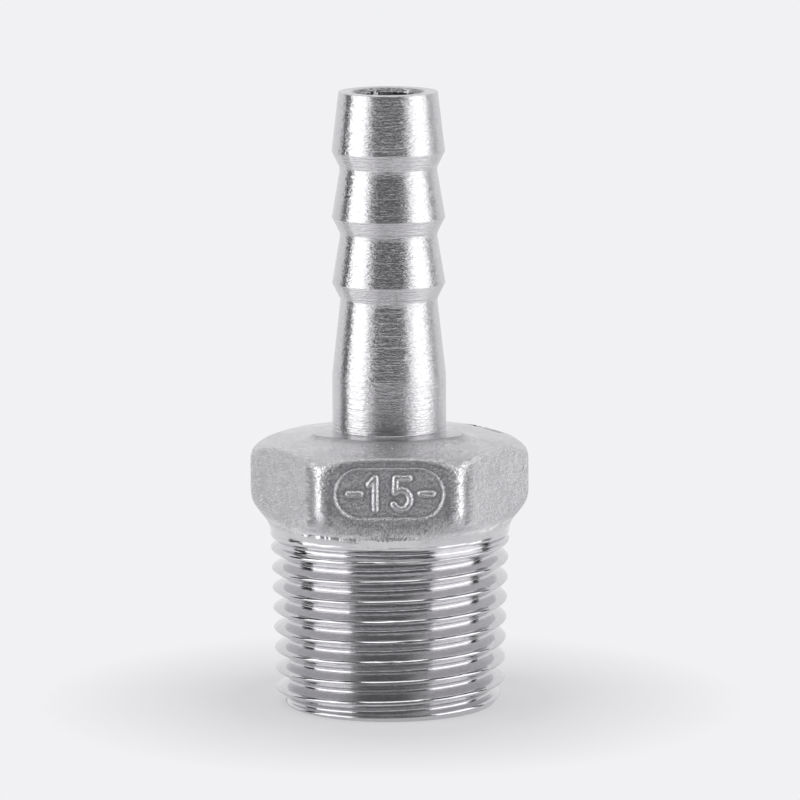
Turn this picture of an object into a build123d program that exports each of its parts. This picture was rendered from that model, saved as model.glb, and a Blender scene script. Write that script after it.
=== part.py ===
from build123d import *
import os
from math import atan, cos, degrees, radians, tan

# Hose barb tail: one stainless steel casting with a hexagon, turned at both ends and threaded at one.
# Its origin is the centre of the thread's end face, which it stands on, with +Z up the spigot.
# The flat of the hexagon that carries the sunk marking panel faces -Y. Lengths are millimetres.

# Taper pipe thread of size 1/2, right hand: crests and roots each take a sixth of the pitch
inch = 25.4
threads_per_inch = 14
pipe_diameter = 20.955
gauge_length = 8.2
taper = 1 / 16
flank_angle = 55
flat_share = 1 / 6
thread_length = 16.45
first_groove_height = 1.34
lead_in_turns = 2
runout_turns = 1.5
plain_neck = 0.6
end_diameter = 18.8
end_chamfer_angle = 35

# Cast hexagon with a crowned top and a coned underside: its flats stand a step outside the neck
flat_count = 6
flat_step = 0.165
hexagon_height = 8.4
corner_radius = 0.8
corner_clearance = 0.3
crown_slope = 10
crown_radius = 2.3
underside_angle = 43
underside_radius = 2.4
neck_radius = 1.8
neck_land = 0.05
flat_edge_chamfer = 0.15

# Marking panel sunk in the front flat
panel_length = 9.6
panel_height = 4.5
panel_depth = 0.2
panel_above_thread = 4.25

# Barbed spigot
shank_diameter = 10.16
shank_length = 4.85
shank_taper_length = 6.47
barb_count = 3
barb_pitch = 5.88
barb_diameter = 10.08
barb_back_length = 1.4
valley_diameter = 8.7
valley_width = 0.4
tip_diameter = 8.82
tip_cone_length = 5.3

# Bore through the spigot, opening into the cored thread end
hose_bore = 5.6
hose_bore_chamfer = 0.2
core_bore = 14.6
core_depth = 17
core_cone_angle = 45
core_chamfer = 0.5

# Sizes that follow from those above
pitch = inch / threads_per_inch
flank_slope = tan(radians(flank_angle / 2))
root_half_width = pitch * flat_share / 2
groove_depth = (pitch / 2 - 2 * root_half_width) / flank_slope
overcut = root_half_width
neck = pipe_diameter / 2 + (thread_length - gauge_length) * taper / 2
across_flats = 2 * (neck + flat_step)
corner_stretch = 1 / cos(radians(180 / flat_count))
rim = across_flats / 2 * corner_stretch - corner_radius * (corner_stretch - 1) + corner_clearance
crown_foot = thread_length + hexagon_height
hexagon_middle = thread_length + hexagon_height / 2
shank_top = crown_foot + shank_length
last_barb = shank_top + shank_taper_length + valley_width + barb_back_length
first_barb = last_barb + (barb_count - 1) * barb_pitch
total_height = first_barb + tip_cone_length


def major_radius(height):
    """Radius over the thread's crests at a height: it grows towards the hexagon."""
    return pipe_diameter / 2 + (height - gauge_length) * taper / 2


def revolved(*outline):
    """Turns a closed outline about the axis: each corner is (radius, height, rounding)."""
    corners = [(r, 0, z) for r, z, rounding in outline]
    roundings = [rounding for r, z, rounding in outline]
    return revolve(make_face(FilletPolyline(*corners, radius=roundings, close=True)), Axis.Z)


def spigot():
    """Shank and barbs: each barb widens slowly away from the tip and falls off steeply behind."""
    radius = shank_diameter / 2
    outline = [(0, hexagon_middle, 0), (radius, hexagon_middle, 0), (radius, shank_top, 0)]
    for number in range(barb_count):
        peak = last_barb + number * barb_pitch
        valley = peak - barb_back_length
        outline.append((valley_diameter / 2, valley - valley_width, 0))
        outline.append((valley_diameter / 2, valley, 0))
        outline.append((barb_diameter / 2, peak, 0))
    outline += [(tip_diameter / 2, total_height, 0), (0, total_height, 0)]
    return revolved(*outline)


def envelope():
    """Turned limits of the hexagon: its coned underside and its crown, sloping up to the shank."""
    land_bottom = thread_length - neck_radius * tan(radians(underside_angle / 2)) - neck_land
    rim_low = thread_length + (rim - neck) / tan(radians(underside_angle))
    rim_high = crown_foot - (rim - shank_diameter / 2) * tan(radians(crown_slope))
    return revolved(
        (0, land_bottom, 0),
        (neck, land_bottom, 0),
        (neck, thread_length, neck_radius),
        (rim, rim_low, underside_radius),
        (rim, rim_high, crown_radius),
        (shank_diameter / 2, crown_foot, 0),
        (0, crown_foot, 0),
    )


def hexagon():
    """Cast hexagon: a prism with rounded corners inside the envelope, the edges of its flats broken."""
    outline = RegularPolygon(across_flats / 2, flat_count, major_radius=False)
    outline = fillet(outline.vertices(), corner_radius)
    blank = extrude(outline, crown_foot) & envelope()
    return chamfer(blank.edges().filter_by(GeomType.HYPERBOLA), flat_edge_chamfer)


def marking_panel():
    """Round-ended recess in the front flat, which frames the marking."""
    flat = Plane((0, -across_flats / 2, thread_length + panel_above_thread), (1, 0, 0), (0, -1, 0))
    return extrude(flat * SlotOverall(panel_length, panel_height), -panel_depth)


def helix(height, turns, slope):
    """Part of the groove's root line: it climbs one pitch a turn and moves outwards by the slope."""
    cone = atan(slope)
    root_radius = major_radius(height) - groove_depth
    return Edge.make_helix(
        pitch / cos(cone), turns * pitch, root_radius, (0, 0, height), (0, 0, 1), degrees(cone)
    )


def groove():
    """Thread groove: a flat-bottomed vee, which runs out as the tool withdraws at the neck."""
    start = first_groove_height - lead_in_turns * pitch
    runout_height = runout_turns * pitch
    runout_start = thread_length - plain_neck - runout_height
    full_turns = (runout_start - start) / pitch
    withdrawal = (groove_depth + overcut) / runout_height + taper / 2
    root_line = helix(start, full_turns, taper / 2)
    runout_line = helix(runout_start, runout_turns, withdrawal).rotate(Axis.Z, full_turns * 360)
    root_radius = major_radius(start) - groove_depth
    mouth_radius = major_radius(start) + overcut
    mouth_half_width = root_half_width + (groove_depth + overcut) * flank_slope
    section = Polyline(
        (root_radius, 0, start - root_half_width),
        (mouth_radius, 0, start - mouth_half_width),
        (mouth_radius, 0, start + mouth_half_width),
        (root_radius, 0, start + root_half_width),
        close=True,
    )
    return Part() + Solid.sweep(make_face(section).face(), Wire([root_line, runout_line]), is_frenet=True)


def threaded_end():
    """Tapered stock with the groove cut in it and its end chamfered."""
    bottom = first_groove_height - (lead_in_turns + 1) * pitch
    top = thread_length + pitch
    stock = revolved(
        (0, bottom, 0),
        (major_radius(bottom), bottom, 0),
        (major_radius(top), top, 0),
        (0, top, 0),
    )
    chamfered_limit = revolved(
        (0, 0, 0),
        (end_diameter / 2, 0, 0),
        (end_diameter / 2 + top * tan(radians(end_chamfer_angle)), top, 0),
        (0, top, 0),
    )
    return (stock - groove()) & chamfered_limit


def bores():
    """Hole down the whole length: wide and cored in the thread end, narrow through the spigot."""
    core, hose = core_bore / 2, hose_bore / 2
    cone_top = core_depth + (core - hose) / tan(radians(core_cone_angle))
    return revolved(
        (0, 0, 0),
        (core + core_chamfer, 0, 0),
        (core, core_chamfer, 0),
        (core, core_depth, 0),
        (hose, cone_top, 0),
        (hose, total_height - hose_bore_chamfer, 0),
        (hose + hose_bore_chamfer, total_height, 0),
        (0, total_height, 0),
    )


hose_tail = hexagon() - marking_panel() + spigot() + threaded_end() - bores()

os.makedirs("parts", exist_ok=True)
export_step(hose_tail, "parts/hose_tail.step")
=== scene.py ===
from math import cos, radians, sin, tan

import bpy
import numpy as np
from mathutils import Matrix, Vector


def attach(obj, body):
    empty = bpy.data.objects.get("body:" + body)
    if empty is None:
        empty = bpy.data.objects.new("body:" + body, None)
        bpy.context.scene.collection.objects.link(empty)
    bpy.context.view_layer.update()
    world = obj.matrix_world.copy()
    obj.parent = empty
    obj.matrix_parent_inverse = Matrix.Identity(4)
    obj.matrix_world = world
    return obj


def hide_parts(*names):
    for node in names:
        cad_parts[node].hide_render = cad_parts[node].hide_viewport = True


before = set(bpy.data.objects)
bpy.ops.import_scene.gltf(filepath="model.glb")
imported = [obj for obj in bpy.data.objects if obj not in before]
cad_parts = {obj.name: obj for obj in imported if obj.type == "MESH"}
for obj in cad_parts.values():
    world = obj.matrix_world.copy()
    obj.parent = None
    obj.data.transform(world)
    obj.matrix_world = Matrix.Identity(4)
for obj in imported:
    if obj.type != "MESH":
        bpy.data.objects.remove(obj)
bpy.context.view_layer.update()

# Threaded end: the lower part of one stainless steel casting, turned to a slight taper and cut with a
# right-hand pipe thread of size 1/2. The tool leaves smooth flanks, round crests and roots, a chamfer at
# the end face and a shallow run-out under the hexagon, and handling has nicked the crests.

# Lengths are millimetres from here on, and become metres where the casting's mesh is made
PITCH = 25.4 / 14
FLANK = radians(27.5)
CREST_AND_ROOT_RADIUS = 0.1373 * PITCH
CREST_BLEND = 0.36
THREAD_DEPTH = 1.162
CREST_RADIUS_AT_GAUGE = 10.4775
GAUGE_HEIGHT = 8.2
TAPER = 1 / 32
FIRST_GROOVE = 1.34
THREAD_TOP = 15.9
END_RADIUS = 9.4
END_SLOPE = tan(radians(35))
END_BLEND = 0.1
# The run-out: where an even thread's groove would be, where it is, and how far its root has risen
RUNOUT_EVEN = [13.13, 14.04, 14.95, 15.3, 15.65, 15.85, 15.95]
RUNOUT_PLACE = [13.13, 13.97, 14.72, 15.0, 15.08, 15.15, 15.2]
RUNOUT_LIFT = [0, 0.15, 0.62, 0.56, 0.6, 1.0, 1.6]
NICK_SHARE = 0.06
NICK_REACH = 0.25
NICK_DEPTH = 0.07
COLUMNS = 144
TURNS = np.arange(-2, 9)


def soft_min(a, b, blend):
    """The lower of two values, with a parabola joining them where they differ by less than the blend."""
    overlap = np.maximum(blend - np.abs(a - b), 0) / blend
    return np.minimum(a, b) - overlap ** 2 * blend / 4


def turned_radius(height):
    """Radius over the crests: a straight line that grows by a thirty-second of the height."""
    return CREST_RADIUS_AT_GAUGE + (height - GAUGE_HEIGHT) * TAPER


def thread_radius(angle, height):
    """Radius of the threaded end: from the groove's middle, an arc at the root, then a straight flank,
    up to the crest line, where a soft minimum rounds the crest. In the run-out the tool slows along the
    part and then leaves it: the groove's middle climbs less, and its root rises."""
    turns = (height - FIRST_GROOVE) / PITCH - angle / (2 * np.pi)
    even = height - (turns - np.round(turns)) * PITCH
    middle = np.where(even < RUNOUT_EVEN[0], even, np.interp(even, RUNOUT_EVEN, RUNOUT_PLACE))
    across = np.abs(height - middle)
    arc_half = CREST_AND_ROOT_RADIUS * cos(FLANK)
    arc = CREST_AND_ROOT_RADIUS - np.sqrt(CREST_AND_ROOT_RADIUS ** 2 - np.minimum(across, arc_half) ** 2)
    rise = arc + np.maximum(across - arc_half, 0) / tan(FLANK)
    root = turned_radius(middle) - THREAD_DEPTH + np.interp(even, RUNOUT_EVEN, RUNOUT_LIFT)
    cut = soft_min(root + rise, turned_radius(height), CREST_BLEND)
    return soft_min(cut, END_RADIUS + height * END_SLOPE, END_BLEND)


# Rows follow the helix, close together over crests and roots, so every turn has the same section.
# A row's height is its place on the thread plus the climb at its angle, kept between the two ends.
half_turn = np.array([0, 0.04, 0.08, 0.122, 0.21, 0.3, 0.345, 0.39, 0.43, 0.466])
one_turn = np.concatenate([half_turn, [0.5], 1 - half_turn[:0:-1]])
thread_rows = (TURNS[:, None] + one_turn).ravel()
column_angles = np.arange(COLUMNS) * 2 * np.pi / COLUMNS
thread_heights = FIRST_GROOVE + PITCH * (thread_rows[:, None] + column_angles / (2 * np.pi))
thread_heights = np.clip(thread_heights, 0, THREAD_TOP)
thread_radii = thread_radius(column_angles, thread_heights)
nicks = np.random.default_rng(4)
struck = nicks.random(thread_radii.shape) < NICK_SHARE
on_crest = thread_radii > turned_radius(thread_heights) - NICK_REACH
thread_radii -= np.where(struck & on_crest, nicks.random(thread_radii.shape) * NICK_DEPTH, 0)
# Both ends are true rings, which the neighbouring surfaces share
thread_radii = np.where(thread_heights <= 0, thread_radius(column_angles, 0), thread_radii)
thread_radii = np.where(thread_heights >= THREAD_TOP, turned_radius(THREAD_TOP), thread_radii)


def turned_points(radii, heights, angles):
    """Points at a radius, an angle and a height: the radius times the angle's cosine and sine."""
    radii, heights, angles = np.broadcast_arrays(radii, heights, angles)
    return np.stack([radii * np.cos(angles), radii * np.sin(angles), heights], axis=-1)


def ring_faces(rows, columns, climb=0):
    """Quads between neighbouring rows and columns. The last column meets the first one climb rows up."""
    row, column = np.meshgrid(np.arange(rows - 1), np.arange(columns), indexing="ij")
    lift = np.where(column == columns - 1, climb, 0)
    following = (column + 1) % columns
    right_low = np.minimum(row + lift, rows - 1) * columns + following
    right_high = np.minimum(row + 1 + lift, rows - 1) * columns + following
    quads = [row * columns + column, right_low, right_high, (row + 1) * columns + column]
    return np.stack(quads, axis=-1).reshape(-1, 4)


thread_points = turned_points(thread_radii, thread_heights, column_angles)
thread_faces = ring_faces(len(thread_rows), COLUMNS, len(one_turn))


def linear(code):
    """An sRGB colour written as six hex digits, turned to the linear values that a shader takes."""
    parts = [int(code[i:i + 2], 16) / 255 for i in (1, 3, 5)]
    return tuple(c / 12.92 if c <= 0.04045 else ((c + 0.055) / 1.055) ** 2.4 for c in parts) + (1,)


def add_node(material, kind, links=(), **settings):
    """Adds one shader node: settings are its properties, or the values of the inputs with those names,
    and each link is (output socket of another node, name or number of the input it goes to)."""
    node = material.node_tree.nodes.new(kind)
    for name, value in settings.items():
        if hasattr(node, name):
            setattr(node, name, value)
        else:
            node.inputs[name.replace("_", " ")].default_value = value
    for socket, target in links:
        material.node_tree.links.new(socket, node.inputs[target])
    return node


def new_material(name):
    """An empty material and its output node."""
    material = bpy.data.materials.new(name)
    material.use_nodes = True
    material.node_tree.nodes.clear()
    return material, material.node_tree.nodes.new("ShaderNodeOutputMaterial")


# Patterns that the tool leaves, in cells to the millimetre along x, y and z: rings 0.2 mm apart, and
# short tears 0.8 mm long and 0.15 mm apart
RING_CELLS = (0.08, 0.08, 4.5)
TEAR_CELLS = (1.3, 1.3, 6.5)
# A Mix node's colour inputs and colour output go by number, because others have the same names
COLOUR_A, COLOUR_B, MIXED_COLOUR = 6, 7, 2


def turned_finish(name, tones, ring_depth, tear_depth, roughness, anisotropy):
    """Bright turned steel: rings round the axis, four or five to the millimetre, blur reflections along
    the part and leave them sharp across it, and fine tears fray the edges of these. The tool turned
    anything that faces along the axis in rings too, so the rings are spaced by height plus radius."""
    material, output = new_material(name)
    position = add_node(material, "ShaderNodeTexCoord").outputs["Object"]
    x, y, z = add_node(material, "ShaderNodeSeparateXYZ", [(position, 0)]).outputs
    level = add_node(material, "ShaderNodeCombineXYZ", [(x, 0), (y, 1)])
    radius = add_node(material, "ShaderNodeVectorMath", [(level.outputs[0], 0)], operation="LENGTH")
    travel = add_node(material, "ShaderNodeMath", [(z, 0), (radius.outputs["Value"], 1)], operation="ADD")
    place = add_node(material, "ShaderNodeCombineXYZ", [(x, 0), (y, 1), (travel.outputs[0], 2)])
    ring_place = add_node(
        material,
        "ShaderNodeMapping",
        [(place.outputs[0], 0)],
        Scale=[1000 * cells for cells in RING_CELLS],
    )
    rings = add_node(
        material,
        "ShaderNodeTexNoise",
        [(ring_place.outputs[0], "Vector")],
        Scale=1.0,
        Detail=2.0,
        Roughness=0.6,
    )
    tear_place = add_node(
        material,
        "ShaderNodeMapping",
        [(place.outputs[0], 0)],
        Scale=[1000 * cells for cells in TEAR_CELLS],
    )
    tears = add_node(
        material,
        "ShaderNodeTexNoise",
        [(tear_place.outputs[0], "Vector")],
        Scale=1.0,
        Detail=3.0,
        Roughness=0.7,
    )
    ring_bump = add_node(
        material, "ShaderNodeBump", [(rings.outputs[0], "Height")], Strength=1.0, Distance=ring_depth / 1000
    )
    tear_bump = add_node(
        material,
        "ShaderNodeBump",
        [(tears.outputs[0], "Height"), (ring_bump.outputs[0], "Normal")],
        Strength=1.0,
        Distance=tear_depth / 1000,
    )
    blur = add_node(
        material,
        "ShaderNodeMapRange",
        [(rings.outputs[0], "Value")],
        To_Min=roughness[0],
        To_Max=roughness[1],
    )
    tone = add_node(material, "ShaderNodeMix", [(tears.outputs[0], "Factor")], data_type="RGBA")
    tone.inputs[COLOUR_A].default_value = linear(tones[0])
    tone.inputs[COLOUR_B].default_value = linear(tones[1])
    round_axis = add_node(material, "ShaderNodeTangent", direction_type="RADIAL", axis="Z")
    shader = add_node(
        material,
        "ShaderNodeBsdfPrincipled",
        [
            (tone.outputs[MIXED_COLOUR], "Base Color"),
            (blur.outputs[0], "Roughness"),
            (tear_bump.outputs[0], "Normal"),
            (round_axis.outputs[0], "Tangent"),
        ],
        Metallic=1.0,
        Anisotropic=anisotropy,
        Anisotropic_Rotation=0.25,
    )
    material.node_tree.links.new(shader.outputs[0], output.inputs[0])
    return material


# Thread-cut stainless steel: the tool's form leaves the flanks almost like mirrors, with faint rings
thread_steel = turned_finish(
    "thread_cut_stainless_steel",
    tones=("#C2C1C3", "#E0DFE1"),
    ring_depth=0.008,
    tear_depth=0.014,
    roughness=(0.06, 0.14),
    anisotropy=0.2,
)

# Hexagon: the middle of the casting, where the spanner goes. It keeps its cast skin, with soft edges and
# rounded corners. Its crown and underside slope to the turned parts, and its front flat has a sunk panel,
# cast with it, that holds plain raised figures.
ACROSS_FLATS = 21.8
CORNER_RADIUS = 0.8
RIM_RADIUS = 12.9
CROWN_FOOT = 24.85
CROWN_SLOPE = radians(10)
CROWN_ROUNDING = 2.1
CROWN_BREAK = 10.3
CROWN_EDGE_ROUNDING = 0.42
NECK_HEIGHT = 16.45
NECK_RADIUS = turned_radius(NECK_HEIGHT)
NECK_ROUNDING = 0.5
UNDERSIDE_SLOPE = radians(43)
UNDERSIDE_ROUNDING = 0.75
UNDERSIDE_EDGE_ROUNDING = 0.6
RAGGED_HEIGHT = 16.8
FRONT_FLAT = -9
PANEL_MIDDLE = 20.7
PANEL_HALF_LENGTH = 4.8
PANEL_END_RADIUS = 2.25
PANEL_DEPTH = 0.2
PANEL_WALL = 0.12
PANEL_BEAD = 0.07
PANEL_BEAD_WIDTH = 0.08
PANEL_DISH = 0.08
PANEL_DISH_REACH = 1.3
FIGURE_HEIGHT = 2.8
FIGURE_RELIEF = 0.19
STROKE_HALF_WIDTH = 0.19
SHANK_RADIUS = 5.08
FOOT_REACH = 0.2
FOOT_RADIUS = SHANK_RADIUS + FOOT_REACH
LAND_RADIUS = 7.2
BACK_LAND_RADIUS = FOOT_RADIUS + 0.1
LAND_SLOPE = radians(1.3)
LAND_STEP = 0.04
LAND_RIM = 0.08
TIP_ANGLES = (143.5, 30.5)
TIP_REACH = 0.35
TIP_SPREAD = 0.03
BAR_ANGLE = radians(30)
BAR_OFFSET = 10.0
BAR_HALF_WIDTH = 0.6
BAR_HALF_LENGTH = 2.6
BAR_DEPTH = 0.3
NECK_ROWS, UNDERSIDE_ROWS, SIDE_ROWS, RIM_ROWS, CROWN_ROWS, LAND_ROWS = 4, 16, 59, 20, 13, 3

# Columns stand closer on the front flat, at the sunk bar and at the six corners
fine = [np.linspace(-115, -65, 120, endpoint=False), np.linspace(12, 48, 36)]
fine += [np.linspace(corner - 5, corner + 5, 20, endpoint=False) for corner in range(0, 360, 60)]
hexagon_angles = np.unique(np.round(np.concatenate([np.degrees(column_angles)] + fine) % 360, 4))
hexagon_angles = np.radians(hexagon_angles)


def radius_of(points):
    """How far points stand from the axis."""
    return np.hypot(points[..., 0], points[..., 1])


def round_off(a, b, size):
    """Signed distance to what two shapes share, with a round edge: the distance to both faces' offsets."""
    outside = np.hypot(np.maximum(a + size, 0), np.maximum(b + size, 0))
    return np.minimum(np.maximum(a, b), -size) + outside


def round_in(a, b, size):
    """Signed distance to two shapes together, with a fillet between them."""
    return -round_off(-a, -b, size)


def hexagon_surfaces(points):
    """How far points lie outside each surface: the prism with its round corners, the crown cone and the
    underside cone, each with its rounded rim, and the neck of the thread."""
    x, y, z = np.moveaxis(points, -1, 0)
    radius = np.hypot(x, y)
    off_middle = np.mod(np.arctan2(y, x), np.pi / 3) - np.pi / 6
    apothem = ACROSS_FLATS / 2 - CORNER_RADIUS
    out = radius * np.cos(off_middle) - apothem
    aside = radius * np.abs(np.sin(off_middle)) - apothem * tan(np.pi / 6)
    prism = np.where(aside > 0, np.hypot(np.maximum(out, 0), aside), out) - CORNER_RADIUS
    crown = (z - CROWN_FOOT) * cos(CROWN_SLOPE) + (radius - SHANK_RADIUS) * sin(CROWN_SLOPE)
    under = (radius - NECK_RADIUS) * cos(UNDERSIDE_SLOPE) - (z - NECK_HEIGHT) * sin(UNDERSIDE_SLOPE)
    top = round_off(crown, radius - RIM_RADIUS, CROWN_ROUNDING)
    low = round_off(under, radius - RIM_RADIUS, UNDERSIDE_ROUNDING)
    neck = np.maximum(radius - turned_radius(np.minimum(z, NECK_HEIGHT)), z - NECK_HEIGHT)
    return prism, top, low, neck


def hexagon_distance(points):
    """Distance outside the hexagon: what its surfaces share, with round edges, and a fillet to the neck."""
    prism, top, low, neck = hexagon_surfaces(points)
    body = round_off(round_off(prism, top, CROWN_EDGE_ROUNDING), low, UNDERSIDE_EDGE_ROUNDING)
    return round_in(body, neck, NECK_ROUNDING)


def outline_radius(angle):
    """Radius of the sharp hexagon at an angle: half the width across flats over the cosine from a flat."""
    return ACROSS_FLATS / 2 / np.cos(np.mod(angle, np.pi / 3) - np.pi / 6)


def ease(value, start, end):
    """A smooth step from 0 to 1 between two values."""
    share = np.clip((value - start) / (end - start), 0, 1)
    return share * share * (3 - 2 * share)


def bell(value, middle, width):
    """A smooth bump: e to the power of minus the square of the distance from its middle, in widths."""
    return np.exp(-((value - middle) / width) ** 2)


# The rows start on the neck and follow the envelope: up the underside, the rim and the crown, to the
# land that the tool faced round the shank's foot. The land is wide in front, where it ends in two tips.
rim_low = NECK_HEIGHT + (RIM_RADIUS - NECK_RADIUS) / tan(UNDERSIDE_SLOPE)
rim_high = CROWN_FOOT - (RIM_RADIUS - SHANK_RADIUS) * tan(CROWN_SLOPE)
side_heights = np.concatenate([
    np.linspace(THREAD_TOP, NECK_HEIGHT, NECK_ROWS + 1),
    np.linspace(NECK_HEIGHT, rim_low, UNDERSIDE_ROWS + 1)[1:],
    np.linspace(rim_low, rim_high, SIDE_ROWS + 1)[1:],
])
neck_radii = [turned_radius(THREAD_TOP), NECK_RADIUS, RIM_RADIUS]
side_radii = np.interp(side_heights, [THREAD_TOP, NECK_HEIGHT, rim_low], neck_radii)
side_radii = np.append(side_radii, np.linspace(RIM_RADIUS, CROWN_BREAK, RIM_ROWS + 1)[1:])[:, None]
from_tips = [np.mod(hexagon_angles - radians(tip), 2 * np.pi) - np.pi for tip in TIP_ANGLES]
tips = [np.exp(-from_tip ** 2 / TIP_SPREAD) for from_tip in from_tips]
in_front = 1 / (1 + np.exp((np.sin(hexagon_angles) + 0.3) / 0.07))
land = BACK_LAND_RADIUS + (LAND_RADIUS - BACK_LAND_RADIUS) * in_front + TIP_REACH * (tips[0] + tips[1])
inward = np.linspace(0, 1, CROWN_ROWS + 1)[1:, None]
crown_radii = CROWN_BREAK + (land + LAND_RIM - CROWN_BREAK) * inward
land_radii = np.stack([land, (land + FOOT_RADIUS) / 2, np.full_like(land, FOOT_RADIUS)])
held_radii = np.minimum(side_radii, outline_radius(hexagon_angles))
held_radii = np.concatenate([held_radii, crown_radii, land_radii])
top_radii = np.concatenate([side_radii[len(side_heights):] + 0 * land, crown_radii, land_radii])
top_heights = CROWN_FOOT - (top_radii - SHANK_RADIUS) * tan(CROWN_SLOPE)
row_heights = np.concatenate([side_heights[:, None] + 0 * land, top_heights])
hexagon_points = turned_points(held_radii, row_heights, hexagon_angles)

# Each point started inside the sharp hexagon, and slides along the distance's slope onto the surface.
# The inner rows are a view, so the hexagon's points move with them.
SLIDES = 6
NUDGE = 1e-4
LEAST_SLOPE_SQUARED = 0.2
inner = hexagon_points[1:-1]
for _ in range(SLIDES):
    distance = hexagon_distance(inner)
    nudged = [hexagon_distance(inner + offset) - distance for offset in np.eye(3) * NUDGE]
    slope = np.stack(nudged, axis=-1) / NUDGE
    inner -= (distance / np.maximum((slope ** 2).sum(axis=-1), LEAST_SLOPE_SQUARED))[..., None] * slope
land_heights = CROWN_FOOT - (land_radii - SHANK_RADIUS) * tan(LAND_SLOPE)
rise_to_land = (land - SHANK_RADIUS) * (tan(CROWN_SLOPE) - tan(LAND_SLOPE)) + LAND_STEP * in_front
hexagon_points[-CROWN_ROWS - LAND_ROWS:-LAND_ROWS, :, 2] += rise_to_land * inward ** 1.5
hexagon_points[-LAND_ROWS:] = turned_points(land_radii, land_heights, hexagon_angles)

# The cast skin is a little uneven, and coarser on the front flat and at the ragged line where the tool
# stopped at the neck. Its edges are rough where they were rubbed. Points move inward by a random amount,
# apart from those next to the turned parts.
EVEN_ROWS = 3
prism, top, low, _ = hexagon_surfaces(inner)
to_corner = np.abs(np.sin(np.mod(hexagon_angles + np.pi / 6, np.pi / 3) - np.pi / 6)) * radius_of(inner)
# Rubbed edges and corners: they are rougher, and below they are painted brighter, as wear and as highlights
rubbed_and_highlit = bell(np.minimum(prism, top), 0, 0.3) * (np.maximum(prism, top) > -0.25)
rubbed_and_highlit = np.maximum(rubbed_and_highlit, bell(to_corner, 0, 0.4) * (prism > -0.1) * (low < -0.2))
front = (inner[..., 1] < FRONT_FLAT) * ease(prism, -0.4, -0.05)
ragged = bell(inner[..., 2], RAGGED_HEIGHT, 0.3)
chance = np.abs(np.random.default_rng(7).normal(0, 1, rubbed_and_highlit.shape))
skin = chance * (0.003 + 0.016 * rubbed_and_highlit + 0.01 * front + 0.004 * ragged)
skin[:EVEN_ROWS] = 0
skin[-EVEN_ROWS:] = 0
inner -= skin[..., None] * slope

# A short bar is sunk in the crown beside the back right flat
along_bar = np.cos(hexagon_angles - BAR_ANGLE) * radius_of(inner)
beside_bar = np.sin(hexagon_angles - BAR_ANGLE) * radius_of(inner)
in_bar = (np.abs(along_bar - BAR_OFFSET) < BAR_HALF_WIDTH) & (np.abs(beside_bar) < BAR_HALF_LENGTH)
inner[..., 2] -= np.where(in_bar & (top > -0.1), BAR_DEPTH, 0)


def stroke_distance(x, z, strokes):
    """Distance to the nearest of some straight strokes, each from one point to another."""
    nearest = np.full(x.shape, np.inf)
    for x0, z0, x1, z1 in strokes:
        along = ((x - x0) * (x1 - x0) + (z - z0) * (z1 - z0)) / ((x1 - x0) ** 2 + (z1 - z0) ** 2)
        along = np.clip(along, 0, 1)
        nearest = np.minimum(nearest, np.hypot(x - x0 - along * (x1 - x0), z - z0 - along * (z1 - z0)))
    return nearest


# Plain figures one and five between two short bars, drawn with strokes of one width. The five's belly is
# part of an ellipse.
half = FIGURE_HEIGHT / 2
belly = np.radians(np.linspace(125, -150, 10))
belly_points = np.stack([1.05 + 0.78 * np.cos(belly), -half + 0.88 + 0.88 * np.sin(belly)], axis=-1)
figure_strokes = [
    (-1.25, half, -1.25, -half),
    (-1.25, half, -1.8, half - 0.6),
    (0.55, half, 1.75, half),
    (0.55, half, 0.5, 0.1),
    (0.5, 0.1, *belly_points[0]),
    (-3.6, 0, -2.55, 0),
    (2.75, 0, 3.8, 0),
]
figure_strokes += [(*start, *end) for start, end in zip(belly_points[:-1], belly_points[1:])]

# The panel is sunk and has a bead round it. The flat is dished a little towards the panel, so that the
# bead stands no further out than the flat's edges do.
panel_x = hexagon_points[..., 0]
panel_z = hexagon_points[..., 2] - PANEL_MIDDLE
straight = PANEL_HALF_LENGTH - PANEL_END_RADIUS
panel_edge = np.hypot(np.maximum(np.abs(panel_x) - straight, 0), panel_z) - PANEL_END_RADIUS
bead = bell(panel_edge, 0, PANEL_BEAD_WIDTH)
sink = PANEL_DEPTH * (1 - ease(panel_edge, -PANEL_WALL, 0.0)) - PANEL_BEAD * bead
sink = np.maximum(sink + PANEL_DISH * (1 - ease(panel_edge, 0, PANEL_DISH_REACH)), 0)
strokes_away = stroke_distance(panel_x, panel_z, figure_strokes)
raised = FIGURE_RELIEF * (1 - ease(strokes_away, STROKE_HALF_WIDTH - 0.05, STROKE_HALF_WIDTH + 0.07))
on_front_flat = hexagon_points[..., 1] < FRONT_FLAT
hexagon_points[..., 1] += np.where(on_front_flat, sink - raised, 0)

# Wear and painted light share one value: 1 where the skin was rubbed bright or a highlight is painted, a half
# on plain skin, and 0 where shade is painted. On the panel, the bead and the strokes' edges are rubbed and
# painted with highlights, and the floor beside them is painted with shade.
PLAIN_WEAR_AND_LIGHT = 0.5
stroke_edge = bell(strokes_away, STROKE_HALF_WIDTH, 0.08)
beside_stroke = bell(strokes_away - STROKE_HALF_WIDTH, 0.2, 0.1)
beside_bead = bell(np.abs(panel_edge + 0.02), 0.22, 0.07)
on_floor = 1 - ease(panel_edge, -0.2, 0.0)
# Painted shade on the floor beside the strokes and the bead, and painted highlights on the strokes' edges and
# the bead
panel_shade_and_highlight = on_floor * (0.05 + 0.35 * beside_stroke - 0.85 * stroke_edge) - 0.65 * bead
panel_shade_and_highlight += 0.3 * beside_bead
wear_and_painted_light = PLAIN_WEAR_AND_LIGHT - np.where(on_front_flat, panel_shade_and_highlight, 0)
# The front flat's border is an arch: a band of painted shade inside it, and painted highlights in the corners
# outside
arch = np.hypot(np.maximum(1.6 + top, 0), np.maximum(1.9 - to_corner, 0))
painted_arch_shade = bell(arch, 1.2, 0.28) * (0.45 + 0.35 * chance)
painted_corner_highlight = 0.3 * ease(arch, 1.6, 1.9) * ease(top, -1.7, -0.9)
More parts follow.
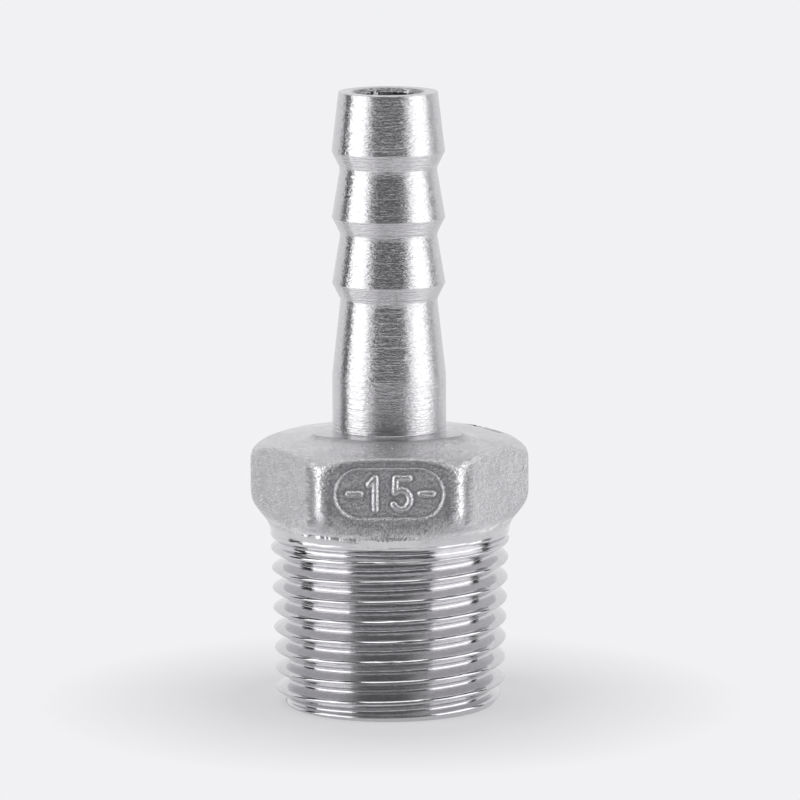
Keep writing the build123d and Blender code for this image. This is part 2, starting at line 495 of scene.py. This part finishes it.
# Rubbed edges are brighter, as wear and as painted highlights, and so is the ragged line. The crown is
# painted brighter as a lit top, and painted with shade in front where it meets the land. The front flat is
# painted darker as shade.
crown_skin = ease(top, -0.3, -0.02)
by_land = bell(radius_of(inner), land, 0.7)
wear_and_painted_light[1:-1] += 0.26 * rubbed_and_highlit + 0.25 * ragged + 0.14 * crown_skin
wear_and_painted_light[1:-1] -= 0.4 * by_land * in_front * crown_skin
wear_and_painted_light[1:-1] -= front * (0.2 + 0.4 * painted_arch_shade - painted_corner_highlight)
# The grain's pits are painted with shade too, most on the front flat
wear_and_painted_light[1:-1] -= (chance - 0.8) * (0.09 + 0.25 * front + 0.05 * ragged)

# Where the hexagon meets the turned parts, its extra columns stand on their neighbours' points
nearest_column = np.round(hexagon_angles / (2 * np.pi) * COLUMNS) * 2 * np.pi / COLUMNS
hexagon_points[0] = turned_points(turned_radius(THREAD_TOP), THREAD_TOP, nearest_column)
hexagon_points[-1] = turned_points(FOOT_RADIUS, land_heights[-1], nearest_column)
hexagon_faces = ring_faces(len(row_heights), len(hexagon_angles))

# Cast stainless steel, tumbled after casting: a satin skin with a fine grain of about a third of a
# millimetre and shallow dents, bright where it was rubbed and where highlights are painted, and duller where
# shade is painted. Its grain, dents and patches are given in cells to the millimetre, and the depths of its
# bumps in millimetres.
GRAIN_CELLS, DENT_CELLS, PATCH_CELLS = 2.8, 1.3, 0.26
GRAIN_DEPTH, DENT_DEPTH = 0.14, 0.16
PATCH_SHARE = 0.4
WEAR_AND_LIGHT_OFFSET = 0.2

cast_steel, cast_output = new_material("cast_stainless_steel")
cast_place = add_node(cast_steel, "ShaderNodeTexCoord").outputs["Object"]
grain = add_node(
    cast_steel,
    "ShaderNodeTexNoise",
    [(cast_place, "Vector")],
    Scale=1000 * GRAIN_CELLS,
    Detail=4.0,
    Roughness=0.7,
)
dents = add_node(
    cast_steel,
    "ShaderNodeTexNoise",
    [(cast_place, "Vector")],
    Scale=1000 * DENT_CELLS,
    Detail=3.0,
    Roughness=0.6,
)
patches = add_node(
    cast_steel,
    "ShaderNodeTexNoise",
    [(cast_place, "Vector")],
    Scale=1000 * PATCH_CELLS,
    Detail=3.0,
    Roughness=0.6,
)
grain_bump = add_node(
    cast_steel, "ShaderNodeBump", [(grain.outputs[0], "Height")], Strength=0.8, Distance=GRAIN_DEPTH / 1000
)
dent_bump = add_node(
    cast_steel,
    "ShaderNodeBump",
    [(dents.outputs[0], "Height"), (grain_bump.outputs[0], "Normal")],
    Strength=0.7,
    Distance=DENT_DEPTH / 1000,
)
# The point value holds wear and painted light and shade
wear_and_light_value = add_node(cast_steel, "ShaderNodeAttribute", attribute_name="wear_and_painted_light")
shifted = add_node(cast_steel, "ShaderNodeMath", [(wear_and_light_value.outputs["Fac"], 0)], operation="SUBTRACT")
shifted.inputs[1].default_value = WEAR_AND_LIGHT_OFFSET
share = add_node(
    cast_steel,
    "ShaderNodeMath",
    [(patches.outputs[0], 0), (shifted.outputs[0], 2)],
    operation="MULTIPLY_ADD",
    use_clamp=True,
)
share.inputs[1].default_value = PATCH_SHARE
cast_roughness = add_node(
    cast_steel, "ShaderNodeMapRange", [(share.outputs[0], "Value")], To_Min=0.38, To_Max=0.16
)
cast_colour = add_node(cast_steel, "ShaderNodeMix", [(share.outputs[0], "Factor")], data_type="RGBA")
cast_colour.inputs[COLOUR_A].default_value = linear("#98979A")
cast_colour.inputs[COLOUR_B].default_value = linear("#F4F3F5")
cast_shader = add_node(
    cast_steel,
    "ShaderNodeBsdfPrincipled",
    [
        (cast_colour.outputs[MIXED_COLOUR], "Base Color"),
        (cast_roughness.outputs[0], "Roughness"),
        (dent_bump.outputs[0], "Normal"),
    ],
    Metallic=1.0,
)
cast_steel.node_tree.links.new(cast_shader.outputs[0], cast_output.inputs[0])

# Barbed spigot: the upper part of the casting, turned all over. A plain shank takes the hose's clip,
# then three barbs grip the hose. Each widens slowly away from the tip and falls off steeply behind,
# to a sharp edge that the tool leaves. The tip is faced square.
SHANK_TOP = 29.7
FIRST_VALLEY = 36.17
VALLEY_WIDTH = 0.4
VALLEY_RADIUS = 4.35
BARB_BACK = 1.4
BARB_RADIUS = 5.04
BARB_PITCH = 5.88
BARBS = 3
TIP_RADIUS = 4.41
TIP_CONE = 5.3
TIP_EDGE = 0.3

corners = [(FOOT_RADIUS, land_heights[-1, 0]), (SHANK_RADIUS, CROWN_FOOT), (SHANK_RADIUS, SHANK_TOP)]
for barb in range(BARBS):
    valley = FIRST_VALLEY + barb * BARB_PITCH
    corners += [(VALLEY_RADIUS, valley), (VALLEY_RADIUS, valley + VALLEY_WIDTH)]
    corners += [(BARB_RADIUS, valley + VALLEY_WIDTH + BARB_BACK)]
TOTAL_HEIGHT = corners[-1][1] + TIP_CONE
corners += [(TIP_RADIUS, TOTAL_HEIGHT), (TIP_RADIUS - TIP_EDGE, TOTAL_HEIGHT)]


def eased_outline(corners, reach, step):
    """A line through corners, with each corner cut to a short curve that starts a reach before it. The
    curve is a parabola: the corner weighs twice each end. Straight runs are divided into steps."""
    line = [corners[0]]
    for before, corner, after in zip(corners[:-2], corners[1:-1], corners[2:]):
        start = corner + (before - corner) * reach / np.hypot(*(before - corner))
        end = corner + (after - corner) * reach / np.hypot(*(after - corner))
        run = np.linspace(0, 1, max(2, int(np.hypot(*(start - line[-1])) / step)))[1:, None]
        line += list(line[-1] + (start - line[-1]) * run)
        share = np.linspace(0, 1, 5)[1:, None]
        line += list(start * (1 - share) ** 2 + corner * 2 * share * (1 - share) + end * share ** 2)
    run = np.linspace(0, 1, max(2, int(np.hypot(*(corners[-1] - line[-1])) / step)))[1:, None]
    line += list(line[-1] + (corners[-1] - line[-1]) * run)
    return np.array(line)


spigot_line = eased_outline(np.array(corners), reach=0.05, step=0.6)
spigot_points = turned_points(spigot_line[:, :1], spigot_line[:, 1:], column_angles)
spigot_faces = ring_faces(len(spigot_line), COLUMNS)

# Turned stainless steel: coarser than the thread, with torn rings that fray the bands it mirrors
turned_steel = turned_finish(
    "turned_stainless_steel",
    tones=("#BEBDBF", "#DEDDDF"),
    ring_depth=0.052,
    tear_depth=0.07,
    roughness=(0.12, 0.24),
    anisotropy=0.4,
)

# Bore: drilled from the tip through the spigot, and cored wide by the mould in the threaded end, with a
# cone between the two. The drill left a torn burr at the tip. The tip's face and the ring that the part
# stands on close the shape.
HOSE_BORE_RADIUS = 2.8
CORE_RADIUS = 7.3
CONE_TOP = 21.5
CORE_DEPTH = 17.0
CORE_EDGE = 0.5
END_EDGE = 0.15
MOUTH_EDGE = 0.35
MOUTH_DEPTH = 0.28
BURR = 0.12
BURR_RADIUS = 3.4
BURR_FADE = 0.4
BURR_DEPTH = 0.5
BURR_END = 1.0

mouth = [
    (HOSE_BORE_RADIUS + MOUTH_EDGE * (1 - share), TOTAL_HEIGHT - MOUTH_DEPTH * share)
    for share in np.linspace(0, 1, 4)
]
bore_corners = np.array([
    (TIP_RADIUS - TIP_EDGE, TOTAL_HEIGHT),
    (BURR_RADIUS, TOTAL_HEIGHT),
    ((BURR_RADIUS + mouth[0][0]) / 2, TOTAL_HEIGHT),
    *mouth,
    (HOSE_BORE_RADIUS, TOTAL_HEIGHT - 3 * MOUTH_DEPTH),
    (HOSE_BORE_RADIUS, CONE_TOP),
    (CORE_RADIUS, CORE_DEPTH),
    (CORE_RADIUS, CORE_EDGE),
    (CORE_RADIUS + CORE_EDGE, 0),
    (END_RADIUS - END_EDGE, 0),
    (END_RADIUS, 0),
])
bore_line = eased_outline(bore_corners, reach=0.04, step=0.9)
bore_points = turned_points(bore_line[:, :1], bore_line[:, 1:], column_angles)
bore_points[-1] = turned_points(thread_radius(column_angles, 0), 0, column_angles)
# The burr sinks and narrows the mouth by chance, and fades out on the tip's face and down the bore
torn = np.random.default_rng(11).random((len(bore_line), COLUMNS, 1))
at_mouth = 1 - ease(bore_line[:, 0], BURR_RADIUS - BURR_FADE, BURR_RADIUS)
at_mouth *= ease(bore_line[:, 1], TOTAL_HEIGHT - BURR_END, TOTAL_HEIGHT - BURR_DEPTH)
bore_points -= at_mouth[:, None, None] * torn * BURR * [0, 0, 1]
bore_points[..., :2] *= 1 - at_mouth[:, None, None] * np.roll(torn, 5, axis=1) * BURR / HOSE_BORE_RADIUS
bore_faces = ring_faces(len(bore_line), COLUMNS)

# Hose tail: the four surfaces above are one casting, so they are joined at their shared rings into one
# closed mesh, which takes the place of the plain solid. Its cast skin stays on the hexagon alone: the
# tool also cut the hexagon's lowest rows, with the thread, and the land at the shank's foot.
THREAD_CUT, CAST, TURNED = 0, 1, 2
PLACES_PER_METRE = 1e7

hexagon_rows = np.arange(len(hexagon_faces)) // len(hexagon_angles)
is_cast = (hexagon_rows >= NECK_ROWS) & (hexagon_rows < len(row_heights) - 1 - LAND_ROWS)
cut_finish = np.where(hexagon_rows < NECK_ROWS, THREAD_CUT, TURNED)
surfaces = [
    (thread_points, thread_faces, THREAD_CUT),
    (hexagon_points, hexagon_faces, np.where(is_cast, CAST, cut_finish)),
    (spigot_points, spigot_faces, TURNED),
    (bore_points, bore_faces, TURNED),
]
points, faces, finishes = [], [], []
for surface_points, surface_faces, finish in surfaces:
    faces.append(surface_faces + sum(len(p) for p in points))
    points.append(surface_points.reshape(-1, 3))
    finishes.append(np.zeros(len(surface_faces)) + finish)
# Each point's value of wear and painted light and shade: plain, except on the hexagon
point_wear_and_painted_light = np.full(sum(len(p) for p in points), PLAIN_WEAR_AND_LIGHT)
point_wear_and_painted_light[len(points[0]):len(points[0]) + wear_and_painted_light.size] = wear_and_painted_light.ravel()
points = np.concatenate(points) / 1000
faces = np.concatenate(faces)
finishes = np.concatenate(finishes)
# Points that share a place become one, and a quad that loses a side becomes a triangle or goes
places = np.round(points * PLACES_PER_METRE).astype(np.int64)
_, first, same = np.unique(places, axis=0, return_index=True, return_inverse=True)
faces = same.ravel()[faces]
repeated = faces == np.roll(faces, -1, axis=1)
sides = 4 - repeated.sum(axis=1)
polygons = [tuple(f[~r]) for f, r in zip(faces[sides > 2], repeated[sides > 2])]
mesh = bpy.data.meshes.new("hose_tail_casting")
mesh.from_pydata(points[first], [], polygons)
mesh.materials.append(thread_steel)
mesh.materials.append(cast_steel)
mesh.materials.append(turned_steel)
mesh.attributes.new("wear_and_painted_light", "FLOAT", "POINT").data.foreach_set("value", point_wear_and_painted_light[first].astype(np.float32))
mesh.polygons.foreach_set("material_index", finishes[sides > 2].astype(np.int32))
mesh.polygons.foreach_set("use_smooth", np.ones(len(polygons), dtype=bool))
mesh.update()
casting = bpy.data.objects.new("hose_tail_casting", mesh)
bpy.context.scene.collection.objects.link(casting)
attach(casting, "root")
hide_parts("hose_tail")

# Studio: a small round table, pale, whose edge fades into a pale background. A soft box stands at each
# side, two lean over the back and one hangs above, and grey cards fill the gaps, as for a photograph of
# bright metal: the one round the camera gives the turned steel its dark middle. Lengths are metres.
TABLE_RADIUS = 0.06
TABLE_FIRST_RING = 0.002
TABLE_RINGS = 5
TABLE_FADE_START = 0.014
TABLE_FADE_END = 0.032
CARD_DISTANCE = 2.5
UPPER_CARD_DISTANCE = 2.6
PALE = linear("#F1F1F3")

# Matt board, pale: near the foot it takes half its light from the lamps, which draws the part's shadow, and
# there its pale glow is less, a painted shade round the foot that the camera and the metal see; further out
# it is as bright as the background
table_material, table_output = new_material("pale_studio_table")
table_place = add_node(table_material, "ShaderNodeTexCoord").outputs["Object"]
from_middle = add_node(table_material, "ShaderNodeVectorMath", [(table_place, 0)], operation="LENGTH")
fade = add_node(
    table_material,
    "ShaderNodeMapRange",
    [(from_middle.outputs["Value"], "Value")],
    From_Min=TABLE_FADE_START,
    From_Max=TABLE_FADE_END,
    To_Min=0.5,
    To_Max=1.0,
)
table_path = add_node(table_material, "ShaderNodeLightPath")
table_seen = add_node(
    table_material,
    "ShaderNodeMath",
    [(table_path.outputs["Is Camera Ray"], 0), (table_path.outputs["Is Glossy Ray"], 1)],
    operation="MAXIMUM",
)
share_seen = add_node(
    table_material, "ShaderNodeMath", [(table_seen.outputs[0], 0), (fade.outputs[0], 1)], operation="MULTIPLY"
)
matt = add_node(table_material, "ShaderNodeBsdfDiffuse", Color=linear("#EEEEF0"))
glow = add_node(table_material, "ShaderNodeEmission", Color=PALE, Strength=1.0)
table_mix = add_node(
    table_material,
    "ShaderNodeMixShader",
    [(share_seen.outputs[0], 0), (matt.outputs[0], 1), (glow.outputs[0], 2)],
)
table_material.node_tree.links.new(table_mix.outputs[0], table_output.inputs[0])
rings_out = np.linspace(TABLE_FIRST_RING, TABLE_RADIUS, TABLE_RINGS)[:, None]
table_points = turned_points(rings_out, 0, column_angles).reshape(-1, 3)
table_faces = [tuple(face) for face in ring_faces(TABLE_RINGS, COLUMNS)[:, ::-1]] + [tuple(range(COLUMNS))]
table_mesh = bpy.data.meshes.new("table")
table_mesh.from_pydata(table_points, [], table_faces)
table_mesh.materials.append(table_material)
table = bpy.data.objects.new("table", table_mesh)
bpy.context.scene.collection.objects.link(table)


def toward(azimuth, elevation):
    """Direction at an azimuth, turned right from the camera's side, and an elevation, in degrees."""
    azimuth, elevation = np.broadcast_arrays(np.radians(azimuth), np.radians(elevation))
    across = np.cos(elevation)
    return np.stack([np.sin(azimuth) * across, -np.cos(azimuth) * across, np.sin(elevation)], axis=-1)


def card_through(name, grid, colour):
    """A card through a grid of points, which glows in one even colour and isn't seen by the camera."""
    rows, columns = grid.shape[:2]
    corner = np.arange((rows - 1) * columns).reshape(rows - 1, columns)[:, :-1].ravel()
    corners = np.stack([corner, corner + columns, corner + columns + 1, corner + 1], axis=-1)
    card_mesh = bpy.data.meshes.new(name)
    card_mesh.from_pydata(grid.reshape(-1, 3), [], corners.tolist())
    paper, paper_output = new_material(name + "_paper")
    paper.cycles.emission_sampling = "NONE"
    tone = add_node(paper, "ShaderNodeEmission", Color=linear(colour), Strength=1.0)
    paper.node_tree.links.new(tone.outputs[0], paper_output.inputs[0])
    card_mesh.materials.append(paper)
    card = bpy.data.objects.new(name, card_mesh)
    card.visible_camera = False
    bpy.context.scene.collection.objects.link(card)
    return card


def curved_card(name, azimuths, elevations, colour, distance):
    """A curved card: the part of a sphere round the object between two azimuths and two elevations."""
    across = np.linspace(*azimuths, 25)
    up = np.linspace(*elevations, 9)[:, None]
    return card_through(name, toward(across, up) * distance, colour)


curved_card("camera_side_card", (-46, 47), (-14, 40), "#666668", CARD_DISTANCE)
curved_card("left_gap_card", (-114, -94), (-30, 50), "#404042", CARD_DISTANCE)
curved_card("right_gap_card", (99, 114), (-30, 50), "#2C2C2E", CARD_DISTANCE)
curved_card("upper_card", (-180, 180), (35, 57), "#A0A0A2", UPPER_CARD_DISTANCE)
curved_card("ceiling_card", (-180, 180), (56, 90), "#2C2C2D", UPPER_CARD_DISTANCE)

# A small grey card lies on the table before the foot, and widens towards the camera: the thread's flanks
# mirror it in the middle. It fades at both sides, so its strength grows there.
TABLE_CARD_START = 0.0108
TABLE_CARD_LENGTH = 0.0139
TABLE_CARD_LIFT = 0.0003
TABLE_CARD_SIDE_STRENGTH = 3.2

card_out = np.linspace(0, 1, 6)[:, None]
card_across = np.linspace(-1, 1, 41) + 0 * card_out
card_angles = np.radians(-95 + card_across * (33 + 9 * card_out))
card_radii = TABLE_CARD_START + TABLE_CARD_LENGTH * card_out
table_card = card_through("table_card", turned_points(card_radii, TABLE_CARD_LIFT, card_angles), "#787878")
table_card.visible_diffuse = False
table_card.visible_shadow = False
card_strength = 1 + (TABLE_CARD_SIDE_STRENGTH - 1) * ease(np.abs(card_across), 0.35, 1)
strength_values = table_card.data.attributes.new("strength", "FLOAT", "POINT").data
strength_values.foreach_set("value", card_strength.ravel().astype(np.float32))
table_paper = table_card.data.materials[0]
strength = add_node(table_paper, "ShaderNodeAttribute", attribute_name="strength")
table_glow = table_paper.node_tree.nodes["Emission"]
table_paper.node_tree.links.new(strength.outputs["Fac"], table_glow.inputs["Strength"])


def soft_box(name, azimuth, elevation, distance, width, height, brightness):
    """A rectangular lamp that faces the part. Its power is pi times its brightness and area."""
    lamp = bpy.data.lights.new(name, "AREA")
    lamp.shape = "RECTANGLE"
    lamp.size = width
    lamp.size_y = height
    lamp.energy = brightness * np.pi * width * height
    box = bpy.data.objects.new(name, lamp)
    middle = Vector((0, 0, 0.03))
    box.location = middle + distance * Vector(toward(azimuth, elevation))
    box.rotation_euler = (box.location - middle).to_track_quat("Z", "Y").to_euler()
    box.visible_camera = False
    bpy.context.scene.collection.objects.link(box)


# Name, azimuth and elevation in degrees, distance, width and height in metres, and brightness
soft_boxes = [
    ("left_soft_box", -69.5, 8, 1.2, 1.12, 1.9, 1.0),
    ("right_soft_box", 74, 8, 1.2, 1.276, 1.9, 0.94),
    ("left_back_soft_box", -157, 53, 1.5, 0.5, 0.55, 1.9),
    ("right_back_soft_box", 157, 53, 1.5, 0.5, 0.55, 1.15),
    ("top_soft_box", 0, 78, 1.5, 1.1, 0.7, 1.9),
]
for box_values in soft_boxes:
    soft_box(*box_values)

# Background: the camera and the metal see the pale colour, and everything else is lit by a plain grey
world = bpy.data.worlds.new("studio_world")
world.use_nodes = True
bpy.context.scene.world = world
world.node_tree.nodes.clear()
backdrop = add_node(world, "ShaderNodeBackground", Color=PALE, Strength=1.0)
room = add_node(world, "ShaderNodeBackground", Color=linear("#A0A0A2"), Strength=1.0)
world_path = add_node(world, "ShaderNodeLightPath")
world_seen = add_node(
    world,
    "ShaderNodeMath",
    [(world_path.outputs["Is Camera Ray"], 0), (world_path.outputs["Is Glossy Ray"], 1)],
    operation="MAXIMUM",
)
world_mix = add_node(
    world, "ShaderNodeMixShader", [(world_seen.outputs[0], 0), (room.outputs[0], 1), (backdrop.outputs[0], 2)]
)
add_node(world, "ShaderNodeOutputWorld", [(world_mix.outputs[0], 0)])

# Camera: a long lens 531 mm away, nine degrees above level, aimed at the middle of the part
CAMERA_DISTANCE = 0.5314
CAMERA_RISE = radians(9.079)
CAMERA_ROLL = radians(-0.2)

camera_data = bpy.data.cameras.new("camera")
camera_data.sensor_width = 36
camera_data.lens = 267.8
camera_data.clip_start = 0.01
camera = bpy.data.objects.new("camera", camera_data)
aim = Vector((0.00096, 0, 0.02734))
camera.location = aim + CAMERA_DISTANCE * Vector((0, -cos(CAMERA_RISE), sin(CAMERA_RISE)))
facing = (camera.location - aim).to_track_quat("Z", "Y").to_matrix()
camera.rotation_euler = (facing @ Matrix.Rotation(CAMERA_ROLL, 3, "Z")).to_euler()
bpy.context.scene.collection.objects.link(camera)
bpy.context.scene.camera = camera
bpy.context.scene.view_settings.view_transform = "Standard"
